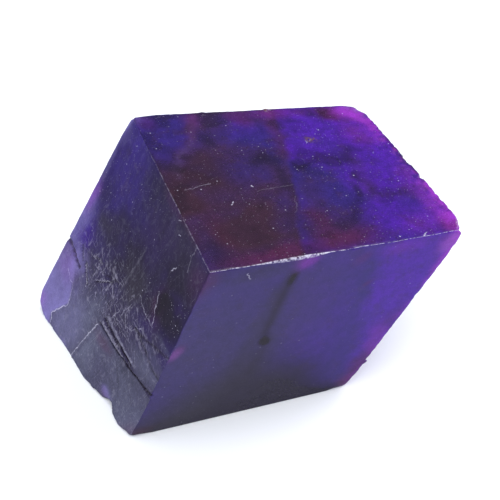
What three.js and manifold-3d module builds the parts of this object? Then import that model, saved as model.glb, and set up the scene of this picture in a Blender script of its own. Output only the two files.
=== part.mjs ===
// A raw block of tanzanite, in millimetres: one leaning, six-sided stone broken along its cleavage.
// It stands on its flat base at z = 0. +X runs along its length, towards the end that overhangs, +Y from
// its front face to its back face, and +Z up. The origin is under the middle of its bounding box.
//
// Every point of the stone has three shares from 0 to 1: a from the left end to the right end, b from front
// to back and c from base to top. The eight corners turn the shares into millimetres. A depth below a face
// is measured along the edges that run in from that face, so the faces beside it stay as they are.

import * as THREE from "three";
import { ConvexGeometry } from "three/addons/geometries/ConvexGeometry.js";
import { mergeVertices } from "three/addons/utils/BufferGeometryUtils.js";
import Module from "manifold-3d";

// ---- Driving dimensions -------------------------------------------------------------------------

// The eight corners of the stone before wear.
const CORNER = {
  frontLeftBase: new THREE.Vector3(-17.25, -13.25, 0),
  frontRightBase: new THREE.Vector3(12.85, -13.1, 0),
  backLeftBase: new THREE.Vector3(-25.75, 15.2, 0),
  backRightBase: new THREE.Vector3(8.95, 10.75, 0),
  frontLeftTop: new THREE.Vector3(-6.45, -15.25, 28.7),
  frontRightTop: new THREE.Vector3(25.85, -15.45, 27.35),
  backLeftTop: new THREE.Vector3(-8.55, 15.45, 30.1),
  backRightTop: new THREE.Vector3(22.1, 11.4, 28.65),
};
const LENGTH = 31; // mean edge from end to end
const DEPTH = 28; // mean edge from front to back
const HEIGHT = 31; // mean edge from base to top, along its lean

const EDGE_WEAR = 0.2; // radius of an unworn edge
const WEAR_REACH = 1.8; // how far from a corner its own wear is felt

// What each corner's wear adds to the radius of the edges that run into it.
const CORNER_WEAR = [
  [CORNER.backLeftTop, 0.4],
  [CORNER.backRightTop, 0.9],
  [CORNER.frontRightTop, 0.8],
  [CORNER.frontLeftTop, 0.1],
  [CORNER.backLeftBase, 1.7],
  [CORNER.frontLeftBase, 0.35],
  [CORNER.frontRightBase, 0.25],
  [CORNER.backRightBase, 0.8],
];

const ROUGH_SWELL = 0.12; // slow rise and fall of the broken faces
const SMOOTH_SWELL = 0.05; // the same on the front and top, which are nearly flat

// The left face swells out a little at its base, on the side of its lower slab.
const LOBE = { b: 0.42, reach: 0.14, rise: 0.45 };

// Broken floors. Each is cut below one face, given by its outline: two shares and the depth there. An
// outline that passes 0 or 1 runs out over that edge. Where the depth falls below 0 the floor runs out
// into the face, and elsewhere it ends at a step.
const FLOORS = {
  left: [
    [[0.57, -0.04, -0.45], [0.5, 0.272, 0.4], [-0.04, 0.263, 0.55], [-0.04, -0.04, 0]], // the lower slab
    [[0.246, 0.68, 0.12], [0.19, 0.53, 0.16], [-0.04, 0.52, 0.26], [-0.04, 0.83, 0.05]],
  ],

  // The right face overhangs. It has a broad hollow towards the back of its base, and flakes round it.
  right: [
    [[0.12, -0.04, -0.2], [0.22, 0.45, 0.1], [0.6, 0.62, 0.5], [1.04, 0.52, 1.2], [1.04, -0.04, 1.5]],
    [[0.42, -0.04, 1.5], [0.47, 0.2, 1.5], [0.78, 0.33, 1.9], [1.04, 0.27, 2.2], [1.04, -0.04, 2.2]],
    [[0.62, 0.55, 0.1], [0.7, 0.85, -0.1], [1.04, 0.93, 0.5], [1.04, 0.5, 1.3]],
    [[0.07, 0.05, -0.05], [0.1, 0.7, 0.25], [0.3, 0.66, 0.5], [0.24, -0.04, 0.6]],
    [[0.28, 0.6, 0.5], [0.32, 0.9, -0.05], [0.7, 0.88, 0.1], [0.66, 0.57, 0.6]],
    [[0.55, 0.36, 1], [0.6, 0.55, 0.9], [0.85, 0.6, 1.3], [0.9, 0.38, 1.5]],
  ],

  // The back face has the same, deeper.
  back: [
    [[0.2, -0.04, 0.1], [0.32, 0.5, 0.2], [0.6, 0.72, 0.4], [1.04, 0.66, 1.4], [1.04, -0.04, 1.9]],
    [[0.5, -0.04, 1.9], [0.56, 0.3, 1.8], [0.8, 0.42, 2.2], [1.04, 0.36, 2.7], [1.04, -0.04, 2.7]],
    [[0.48, 0.6, 0.5], [0.56, 0.9, -0.1], [1.04, 0.93, 0.7], [1.04, 0.6, 1.2]],
    [[0.06, 0.02, -0.05], [0.12, 0.6, 0.2], [0.34, 0.55, 0.7], [0.36, -0.04, 0.8]],
    [[0.16, 0.55, 0.3], [0.2, 0.9, -0.05], [0.5, 0.86, 0.15], [0.46, 0.52, 0.6]],
    [[0.66, 0.1, 2.3], [0.7, 0.24, 2.3], [0.9, 0.27, 2.8], [0.92, 0.08, 2.9]],
  ],

  // One step up in the base leaves the rest flat to stand on.
  base: [[[0.64, 0.66, 0.4], [1.04, 0.58, 0.5], [1.04, 1.04, 0.7], [0.58, 1.04, 0.5]]],
};
const RISER_LEAN = 0.012; // how far the top of a step's riser stands out from its foot, in shares

// V-shaped grooves of the left face: half the width at the top and the depth, in millimetres.
const GROOVES = [
  { from: [0.51, 0.283], to: [-0.04, 0.272], width: 0.7, depth: 0.6 }, // above the slab
  { from: [0.48, 0.318], to: [0.19, 0.304], width: 0.6, depth: 0.4 },
  { from: [0.17, 0.45], to: [-0.04, 0.487], width: 0.7, depth: 0.4 },
  { from: [0.97, 0.4], to: [0.81, 0.34], width: 0.6, depth: 0.3 },
  { from: [0.3, 0.25], to: [0.24, 0.02], width: 0.7, depth: 0.3 }, // crease of the slab
  { from: [0.42, 0.36], to: [0.1, 0.36], width: 0.5, depth: 0.2 },
  { from: [0.62, 0.5], to: [0.55, 0.34], width: 0.5, depth: 0.2 },
];

// Pits: the shares of the middle, the radius of the cutter and how deep it bites, in millimetres.
const PITS = [
  { face: "top", at: [0.676, 0.73], radius: 0.6, depth: 0.25 },
  { face: "top", at: [0.664, 0.735], radius: 0.5, depth: 0.2 },
  { face: "left", at: [0.867, 0.175], radius: 0.5, depth: 0.2 },
  { face: "left", at: [0.72, 0.27], radius: 0.6, depth: 0.2 },
];

// Nicks along the edges: the edge's two fixed shares, how many nicks, and how deep they bite, in
// millimetres.
const NICKS = [
  { b: 0, c: 1, count: 9, bite: 0.36 }, // front top edge
  { b: 1, c: 1, count: 8, bite: 0.36 }, // back top edge
  { a: 1, c: 1, count: 12, bite: 0.45 }, // right top edge, the most ragged of those that show
  { a: 1, b: 0, count: 9, bite: 0.4 }, // front right edge
  { a: 0, c: 0, count: 9, bite: 0.3 }, // left base edge
  { a: 0, c: 1, count: 5, bite: 0.26 }, // left top edge
  { a: 0, b: 0, count: 5, bite: 0.34 }, // front left edge
  { a: 0, b: 1, count: 6, bite: 0.36 }, // back left edge
  { a: 1, b: 1, count: 8, bite: 1.4 }, // back right edge
  { a: 1, c: 0, count: 7, bite: 0.8 }, // right base edge
  { b: 1, c: 0, count: 8, bite: 0.8 }, // back base edge
];
const NICK_RADIUS = 1.1; // of the smallest nick's cutter
const NOTCH = { b: 0.24, bite: 0.75, radius: 1.6 }; // the one large bite out of the left base edge

const STONE_VIOLET = 0x3b2470;

// ---- From shares to millimetres -----------------------------------------------------------------

const { lerp, clamp } = THREE.MathUtils;

// The point whose shares are a, b and c: the eight corners, weighted by them.
function place(a, b, c) {
  const between = (start, end, share) => new THREE.Vector3().lerpVectors(start, end, share);
  const base = between(
    between(CORNER.frontLeftBase, CORNER.frontRightBase, a),
    between(CORNER.backLeftBase, CORNER.backRightBase, a),
    b,
  );
  const top = between(
    between(CORNER.frontLeftTop, CORNER.frontRightTop, a),
    between(CORNER.backLeftTop, CORNER.backRightTop, a),
    b,
  );
  return between(base, top, c);
}

// For each face, the point at its two shares u and v and a depth below it.
const UNDER = {
  left: (u, v, depth) => place(depth / LENGTH, u, v),
  right: (u, v, depth) => place(1 - depth / LENGTH, u, v),
  back: (u, v, depth) => place(u, 1 - depth / DEPTH, v),
  base: (u, v, depth) => place(u, v, depth / HEIGHT),
  top: (u, v, depth) => place(u, v, 1 - depth / HEIGHT),
};

// ---- The worn block as one closed grid ----------------------------------------------------------

// Radius of the worn edge near a point.
function wearAt(point) {
  return CORNER_WEAR.reduce(
    (sum, [corner, extra]) => sum + extra * Math.exp(-((point.distanceTo(corner) / WEAR_REACH) ** 2)),
    EDGE_WEAR,
  );
}

// Rounds the box of shares: each share keeps within its radius of the faces, and what is past that
// is pulled in to an ellipsoid round the inner box.
function rounded(a, b, c) {
  const radius = wearAt(place(a, b, c));
  const shares = [a, b, c];
  const radii = [radius / LENGTH, radius / DEPTH, radius / HEIGHT];
  const inner = shares.map((x, i) => clamp(x, radii[i], 1 - radii[i]));
  const past = shares.map((x, i) => (x - inner[i]) / radii[i]);
  const size = Math.hypot(...past);
  return size === 0 ? shares : inner.map((x, i) => x + (radii[i] * past[i]) / size);
}

// Depth of the slow rise and fall of a face: three crossing waves that fade out at its edges.
function swell(u, v, phase, depth) {
  const slow = Math.sin(5.1 * u + 2.3 * v + phase);
  const cross = Math.sin(9.7 * v - 4.1 * u + 2 * phase);
  const quick = Math.sin(15.3 * u + 12.9 * v + 3 * phase);
  const inside = 16 * u * (1 - u) * v * (1 - v);
  return depth * inside * (0.5 + (slow + 0.6 * cross + 0.4 * quick) / 4);
}

// A point of the worn skin, with the swell of the two faces that face each other along each share.
function skin(...shares) {
  const [a, b, c] = rounded(...shares);
  const lobe = LOBE.rise * Math.exp(-(((b - LOBE.b) ** 2 + c ** 2) / LOBE.reach ** 2));
  const left = (swell(b, c, 0.4, ROUGH_SWELL) - lobe) / LENGTH;
  const right = swell(b, c, 1.9, ROUGH_SWELL) / LENGTH;
  const front = swell(a, c, 2.7, SMOOTH_SWELL) / DEPTH;
  const back = swell(a, c, 4.2, ROUGH_SWELL) / DEPTH;
  const top = swell(a, b, 5.3, SMOOTH_SWELL) / HEIGHT;
  return place(lerp(left, 1 - right, a), lerp(front, 1 - back, b), c * (1 - top));
}

const NEAR_EDGE = [0, 0.008, 0.022, 0.05]; // grid lines that carry the rounding of edges and corners
const EVEN_CELLS = 10;

const LINES = [
  ...NEAR_EDGE,
  ...Array.from({ length: EVEN_CELLS - 1 }, (_, i) => lerp(0.05, 0.95, (i + 1) / EVEN_CELLS)),
  ...NEAR_EDGE.map((x) => 1 - x).reverse(),
];

// The triangles of one face of the box of shares, two for each cell of its grid.
function facePoints(at, turned) {
  const points = [];
  for (let i = 1; i < LINES.length; i++) {
    for (let j = 1; j < LINES.length; j++) {
      const p = at(LINES[i - 1], LINES[j - 1]);
      const q = at(LINES[i], LINES[j - 1]);
      const r = at(LINES[i], LINES[j]);
      const s = at(LINES[i - 1], LINES[j]);
      points.push(...(turned ? [p, r, q, p, s, r] : [p, q, r, p, r, s]));
    }
  }
  return points;
}

function blockGeometry() {
  return new THREE.BufferGeometry().setFromPoints([
    ...facePoints((b, c) => skin(0, b, c), true),
    ...facePoints((b, c) => skin(1, b, c), false),
    ...facePoints((a, c) => skin(a, 0, c), false),
    ...facePoints((a, c) => skin(a, 1, c), true),
    ...facePoints((a, b) => skin(a, b, 0), true),
    ...facePoints((a, b) => skin(a, b, 1), false),
  ]);
}

// ---- Cutters ------------------------------------------------------------------------------------

const CLEAR = 1.5; // how far a cutter reaches out of the stone

// A step: its floor, and the same outline above the face, a little larger so that the riser leans.
function floorGeometry(face, outline) {
  const middle = [0, 1].map((k) => outline.reduce((sum, corner) => sum + corner[k], 0) / outline.length);
  const floor = outline.map(([u, v, depth]) => UNDER[face](u, v, depth));
  const rim = outline.map(([u, v]) => {
    const away = Math.hypot(u - middle[0], v - middle[1]);
    const grow = 1 + RISER_LEAN / away;
    return UNDER[face](lerp(middle[0], u, grow), lerp(middle[1], v, grow), -CLEAR);
  });
  return new ConvexGeometry([...floor, ...rim]);
}

// A V-shaped groove of the left face, deepest in the middle half of its run and running out at both ends.
function grooveGeometry({ from, to, width, depth }) {
  const run = [to[0] - from[0], to[1] - from[1]];
  const length = Math.hypot(...run);
  const side = [-run[1] / length, run[0] / length].map((x) => (x * width) / DEPTH);
  const at = (share, sideways, below) =>
    UNDER.left(
      from[0] + share * run[0] + sideways * side[0],
      from[1] + share * run[1] + sideways * side[1],
      below,
    );
  return new ConvexGeometry([
    at(0, 0, 0.01),
    at(0.25, 0, depth),
    at(0.75, 0, depth),
    at(1, 0, 0.01),
    ...[-1, 1].flatMap((sideways) => [at(0.1, sideways, -depth), at(0.9, sideways, -depth)]),
  ]);
}

// A blunt cutter at a point, turned so that no two look alike.
function bluntGeometry(centre, radius, turn) {
  return new THREE.IcosahedronGeometry(radius, 0)
    .rotateX(turn)
    .rotateZ(2 * turn)
    .translate(centre.x, centre.y, centre.z);
}

function pitGeometry({ face, at, radius, depth }, index) {
  return bluntGeometry(UNDER[face](...at, depth - radius), radius, index);
}

// A cutter that bites into an edge at one place of it.
function nickGeometry(shares, radius, bite, turn) {
  const edge = place(shares.a, shares.b, shares.c);
  const inward = ["a", "b", "c"].map((k) => (shares[k] === 0 || shares[k] === 1 ? 0.5 : shares[k]));
  const outward = edge.clone().sub(place(...inward)).normalize();
  return bluntGeometry(edge.addScaledVector(outward, radius - bite), radius, turn);
}

// The nicks of one edge, unevenly spaced and of uneven depth by two waves of their number.
function edgeNicks({ count, bite, ...fixed }) {
  const free = ["a", "b", "c"].find((k) => !(k in fixed));
  return Array.from({ length: count }, (_, i) => {
    const share = 0.06 + (0.88 * (i + 0.5 + 0.35 * Math.sin(12.9 * i + 1.7 * bite))) / count;
    const deep = bite * (0.75 + 0.35 * Math.sin(7.3 * i + 4 * bite));
    const radius = (NICK_RADIUS + bite) * (1 + 0.3 * Math.sin(3.1 * i));
    return nickGeometry({ ...fixed, [free]: share }, radius, deep, i + bite);
  });
}

// ---- The stone ----------------------------------------------------------------------------------

const wasm = await Module();
wasm.setup();

// A closed geometry as a solid, by the places of its points alone.
function solid(geometry) {
  const bare = new THREE.BufferGeometry().setAttribute("position", geometry.getAttribute("position"));
  const merged = mergeVertices(bare, 1e-4);
  return new wasm.Manifold(
    new wasm.Mesh({
      numProp: 3,
      vertProperties: merged.attributes.position.array,
      triVerts: new Uint32Array(merged.index.array),
    }),
  );
}

function geometryOf(shape) {
  const mesh = shape.getMesh();
  return new THREE.BufferGeometry()
    .setAttribute("position", new THREE.BufferAttribute(mesh.vertProperties, 3))
    .setIndex(new THREE.BufferAttribute(mesh.triVerts, 1));
}

const cutters = [
  ...Object.entries(FLOORS).flatMap(([face, outlines]) => outlines.map((o) => floorGeometry(face, o))),
  ...GROOVES.map(grooveGeometry),
  ...PITS.map(pitGeometry),
  ...NICKS.flatMap(edgeNicks),
  nickGeometry({ a: 0, b: NOTCH.b, c: 0 }, NOTCH.radius, NOTCH.bite, 0.5),
];
const broken = cutters.reduce((shape, cutter) => shape.subtract(solid(cutter)), solid(blockGeometry()));

const geometry = geometryOf(broken);
geometry.computeBoundingBox();
const middle = geometry.boundingBox.getCenter(new THREE.Vector3());

const stone = new THREE.Mesh(
  geometry.translate(-middle.x, -middle.y, 0),
  new THREE.MeshStandardMaterial({ color: STONE_VIOLET, roughness: 0.3, metalness: 0, flatShading: true }),
);
stone.name = "tanzanite_block";

const part = new THREE.Group();
part.add(stone);

export default part;
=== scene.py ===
"""A raw block of tanzanite: the fine skin of the stone, its finish, and a plain stage for it."""

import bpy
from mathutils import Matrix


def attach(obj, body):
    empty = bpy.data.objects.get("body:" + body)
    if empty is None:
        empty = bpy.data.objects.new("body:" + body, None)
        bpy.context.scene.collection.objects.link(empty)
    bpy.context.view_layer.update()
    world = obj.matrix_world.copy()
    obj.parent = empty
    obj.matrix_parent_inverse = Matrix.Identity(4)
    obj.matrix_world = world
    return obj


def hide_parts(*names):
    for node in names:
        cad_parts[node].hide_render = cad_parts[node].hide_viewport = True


bl_info = {
    "name": "Raw tanzanite block",
    "version": (1, 0, 0),
    "blender": (4, 5, 0),
    "location": "View3D > Sidebar > Tanzanite",
    "description": "Builds a leaning block of raw tanzanite and a pale stage",
    "category": "Add Mesh",
}

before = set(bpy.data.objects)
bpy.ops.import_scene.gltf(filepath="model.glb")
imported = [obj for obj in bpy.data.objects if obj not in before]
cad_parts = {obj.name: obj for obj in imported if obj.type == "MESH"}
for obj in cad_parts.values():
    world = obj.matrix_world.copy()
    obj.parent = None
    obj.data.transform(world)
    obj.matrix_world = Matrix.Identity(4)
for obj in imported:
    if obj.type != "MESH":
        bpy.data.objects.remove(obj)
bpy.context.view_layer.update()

import math
from functools import partial

import bpy
import numpy as np
from mathutils import Vector

MM = 0.001
NODE = "tanzanite_block"

# ---- The block's own sizes, in millimetres ----

# Each point of the stone has three shares from 0 to 1: a from the left end to the right end, b from
# front to back and c from base to top. CORNERS[a][b][c] are the eight corners before wear. A face has
# two shares, u and v: b and c on the left and right, a and c on the front and back, else a and b.
CORNERS = np.array(
    [
        [
            [[-17.05, -13.2, 0.0], [-6.05, -15.25, 28.5]],
            [[-25.87, 15.2, 0.0], [-8.65, 15.5, 30.14]],
        ],
        [
            [[13.05, -13.1, 0.0], [25.93, -15.45, 27.35]],
            [[9.1, 10.75, 0.0], [22.2, 11.4, 28.7]],
        ],
    ]
)
MIDDLE = np.array([0.256, -0.011, 0.0])  # what the block is moved by to stand over the origin
EDGE = np.array([31.0, 28.0, 31.0])  # mean edge along a, b and c

# How far each corner is worn back, laid out as CORNERS, and how far along the edges that wear reaches.
CORNER_WEAR = np.array([[[0.35, 0.1], [1.35, 0.4]], [[0.25, 0.75], [0.8, 0.8]]])
WEAR_REACH = 1.8

# The left face swells out twice at its base: share b of the middle, reach and rise.
LOBES = [(0.42, 0.14, 0.45), (0.085, 0.07, 0.5)]

# Broken floors cut below a face: two shares and a depth for each corner of their outline. The first
# floor of the left face is its lower slab, and the second is the small facet at its front edge.
FLOORS = {
    "left": [
        [[0.57, -0.04, -0.45], [0.5, 0.272, 0.4], [-0.04, 0.263, 0.55], [-0.04, -0.04, 0]],
        [[0.246, 0.68, 0.12], [0.19, 0.53, 0.16], [-0.04, 0.52, 0.26], [-0.04, 0.83, 0.05]],
    ],
    "right": [
        [[0.12, -0.04, -0.2], [0.22, 0.45, 0.1], [0.6, 0.62, 0.5], [1.04, 0.52, 1.2],
         [1.04, -0.04, 1.5]],
        [[0.42, -0.04, 1.5], [0.47, 0.2, 1.5], [0.78, 0.33, 1.9], [1.04, 0.27, 2.2],
         [1.04, -0.04, 2.2]],
        [[0.62, 0.55, 0.1], [0.7, 0.85, -0.1], [1.04, 0.93, 0.5], [1.04, 0.5, 1.3]],
        [[0.07, 0.05, -0.05], [0.1, 0.7, 0.25], [0.3, 0.66, 0.5], [0.24, -0.04, 0.6]],
        [[0.28, 0.6, 0.5], [0.32, 0.9, -0.05], [0.7, 0.88, 0.1], [0.66, 0.57, 0.6]],
        [[0.55, 0.36, 1], [0.6, 0.55, 0.9], [0.85, 0.6, 1.3], [0.9, 0.38, 1.5]],
    ],
    "back": [
        [[0.2, -0.04, 0.1], [0.32, 0.5, 0.2], [0.6, 0.72, 0.4], [1.04, 0.66, 1.4], [1.04, -0.04, 1.9]],
        [[0.5, -0.04, 1.9], [0.56, 0.3, 1.8], [0.8, 0.42, 2.2], [1.04, 0.36, 2.7], [1.04, -0.04, 2.7]],
        [[0.48, 0.6, 0.5], [0.56, 0.9, -0.1], [1.04, 0.93, 0.7], [1.04, 0.6, 1.2]],
        [[0.06, 0.02, -0.05], [0.12, 0.6, 0.2], [0.34, 0.55, 0.7], [0.36, -0.04, 0.8]],
        [[0.16, 0.55, 0.3], [0.2, 0.9, -0.05], [0.5, 0.86, 0.15], [0.46, 0.52, 0.6]],
        [[0.66, 0.1, 2.3], [0.7, 0.24, 2.3], [0.9, 0.27, 2.8], [0.92, 0.08, 2.9]],
    ],
    "base": [[[0.64, 0.66, 0.4], [1.04, 0.58, 0.5], [1.04, 1.04, 0.7], [0.58, 1.04, 0.5]]],
}

# Grooves of the left face, and the ridges between them: a broken line in shares b and c, half width,
# and depth, which is negative for a ridge.
GROOVES = [
    ([(-0.06, 0.292), (0.0, 0.283), (0.06, 0.272), (0.1, 0.262), (0.17, 0.257), (0.23, 0.25)],
     0.42, 0.3),
    ([(0.2, 0.252), (0.3, 0.25), (0.4, 0.256), (0.505, 0.262)], 0.3, 0.22),
    ([(0.27, 0.263), (0.36, 0.269), (0.49, 0.28)], 0.2, -0.14),
    ([(0.2, 0.277), (0.27, 0.279), (0.38, 0.292), (0.485, 0.305)], 0.3, 0.26),
    ([(0.18, 0.292), (0.3, 0.303), (0.4, 0.316), (0.475, 0.331)], 0.24, -0.16),
    ([(0.3, 0.338), (0.46, 0.347)], 0.16, 0.12),
    ([(0.0, 0.385), (0.05, 0.385), (0.12, 0.395), (0.27, 0.435)], 0.45, 0.13),
    ([(0.0, 0.505), (0.1, 0.48), (0.17, 0.445), (0.3, 0.425)], 0.4, 0.12),
    ([(0.3, 0.21), (0.26, 0.17), (0.21, 0.125)], 0.4, 0.1),
    ([(0.58, -0.02), (0.56, 0.08), (0.54, 0.17), (0.51, 0.255)], 0.28, -0.12),
    ([(0.505, 0.28), (0.48, 0.45), (0.46, 0.6), (0.44, 0.75)], 0.5, -0.045),
    ([(0.79, 0.385), (0.75, 0.35), (0.715, 0.325)], 0.34, 0.24),
    ([(1.05, 0.39), (0.93, 0.365), (0.87, 0.347), (0.82, 0.337)], 0.32, 0.26),
    ([(0.88, 0.425), (0.85, 0.4), (0.82, 0.38)], 0.3, 0.16),
    ([(0.56, 0.455), (0.62, 0.41), (0.66, 0.37)], 0.32, 0.16),
    ([(0.52, 0.49), (0.6, 0.455), (0.66, 0.44)], 0.3, 0.12),
    ([(0.68, 0.47), (0.75, 0.455)], 0.3, 0.16),
]

# Pits, and nubs of negative depth: face, shares, radius and depth.
PITS = [
    ("top", (0.665, 0.725), 0.42, 0.3),
    ("top", (0.68, 0.735), 0.35, 0.25),
    ("left", (0.865, 0.18), 0.4, 0.22),
    ("left", (0.77, 0.255), 0.4, 0.22),
    ("left", (0.69, 0.155), 0.35, 0.14),
    ("left", (0.715, 0.275), 0.35, 0.16),
    ("top", (0.578, 0.985), 0.4, -0.2),
    ("top", (0.3, 0.985), 0.5, -0.12),
    ("top", (0.11, 0.985), 0.4, -0.1),
    ("right", (0.01, 0.17), 0.4, -0.4),
]

# Chips along the edges: an edge's fixed shares, how many cells of noise run along it and how deep the
# chips bite. They fade out between the two distances of CHIP_FADE from the edge.
CHIPS = [
    ({"b": 0, "c": 1}, 22, 0.26),
    ({"b": 1, "c": 1}, 16, 0.16),
    ({"a": 1, "c": 1}, 26, 0.5),
    ({"a": 1, "b": 0}, 20, 0.3),
    ({"a": 0, "c": 0}, 14, 0.5),
    ({"a": 0, "c": 1}, 18, 0.12),
    ({"a": 0, "b": 0}, 18, 0.16),
    ({"a": 0, "b": 1}, 16, 0.14),
    ({"a": 1, "b": 1}, 9, 1.7),
    ({"a": 1, "c": 0}, 10, 1.0),
    ({"b": 1, "c": 0}, 10, 1.0),
]
CHIP_FADE = (1.6, 3.0)
NOTCH_B, NOTCH_BITE, NOTCH_WIDTH = 0.22, 1.125, 1.7  # the large bite out of the left base edge

# Grid lines along a, b and c: spans of shares and the steps in each. They are close at the edges,
# for the chips, and across the grooves of the left face.
SPANS = [
    [(0, 0.03, 10), (0.03, 0.97, 88), (0.97, 1, 10)],
    [(0, 0.03, 10), (0.03, 0.97, 100), (0.97, 1, 10)],
    [(0, 0.03, 10), (0.03, 0.235, 24), (0.235, 0.335, 45), (0.335, 0.97, 71), (0.97, 1, 10)],
]
FACES = ("left", "right", "front", "back", "base", "top")
SHARP_ANGLE = 38  # degrees between two faces from which their edge is sharp
FACE_MM = 30.0  # a face's mean side
SHEET_MM = 200.0  # the faces lie side by side on one sheet of this width
SHEET_STEP = 33.0  # from the start of one face on the sheet to the start of the next

# ---- Where the colours lie ----

# A plane of old fracture crosses the stone, given by a point and its normal. The end beyond it is
# painted bright, as painted light that shines through it, and the middle darker, as painted shade
# where less light reaches. Where it meets the top and the front it wanders, so there it is a broken
# line in the face's shares, and a fainter one below the spot on the front.
FRACTURE_POINT = np.array([3.64, -15.0, 28.3])
FRACTURE_NORMAL = np.array([0.948, -0.256, -0.189])
FRACTURE_TOP = [
    (0.335, -0.1), (0.385, 0.15), (0.46, 0.35), (0.505, 0.5), (0.545, 0.68), (0.585, 0.85), (0.615, 1.1)
]
FRACTURE_FRONT = [(0.35, 0.9), (0.362, 0.7), (0.375, 0.57), (0.4, 0.5)]
FRACTURE_FOOT = [(0.4, 0.5), (0.42, 0.42), (0.41, 0.3)]
# A red seam that crosses the back left of the top.
TOP_SEAM = [(0.28, 1.02), (0.2, 0.83), (0.11, 0.68), (0.06, 0.56)]
# Border of the thin lavender corner of the left face, partly a painted glow of light through the thin
# stone: shares c and b.
PALE_BORDER = [
    (0, 0.83), (0.055, 0.85), (0.17, 0.77), (0.25, 0.8), (0.36, 0.79), (0.47, 0.82), (0.56, 0.92),
    (0.66, 1.0), (1, 1.1),
]
THIN_RIM = 0.7  # how far the painted glow of light through the thin right edge reaches, in magenta
ZONES = ("bright", "maroon", "red", "vein", "dark", "glow", "film", "slab", "pale", "rust")

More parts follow.
